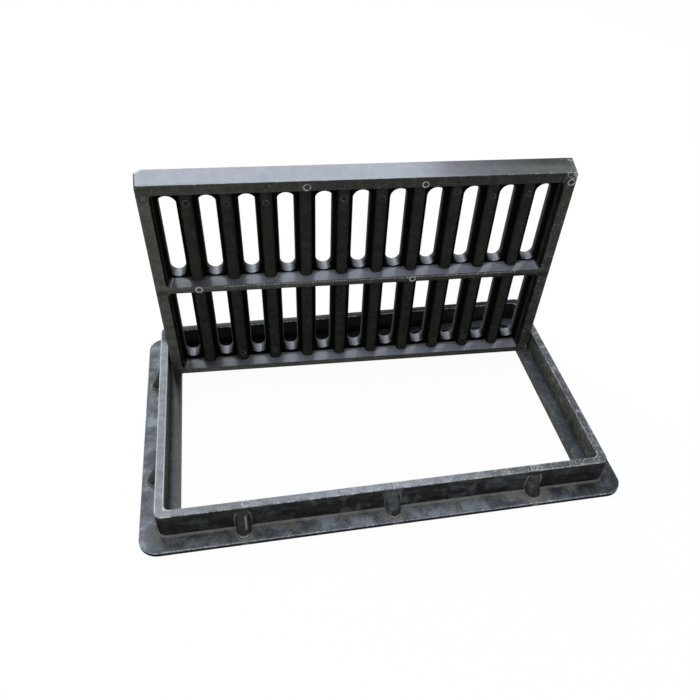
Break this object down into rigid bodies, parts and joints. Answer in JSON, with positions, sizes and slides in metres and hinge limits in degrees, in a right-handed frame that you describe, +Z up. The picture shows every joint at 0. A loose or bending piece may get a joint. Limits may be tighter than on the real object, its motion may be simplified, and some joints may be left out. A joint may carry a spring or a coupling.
{
  "type": "gully grate",
  "caption": "Rectangular slotted gully grate with a ribbed underside, stood on its edge in its flanged frame.",
  "frame": {"origin": "middle of the frame's footprint, on the ground", "axes": "+X along the long side, +Y to the rear where the grate stands, +Z up"},
  "size_m": [0.85, 0.542, 0.4671],
  "materials": {
    "frame_composite": "satin, dark grey moulded composite, scuffed on its edges",
    "grate_composite": "satin, near-black moulded composite, scuffed on its edges"
  },
  "bodies": {
    "root": {"frame": "frame_composite", "grate": "grate_composite"}
  },
  "joints": []
}
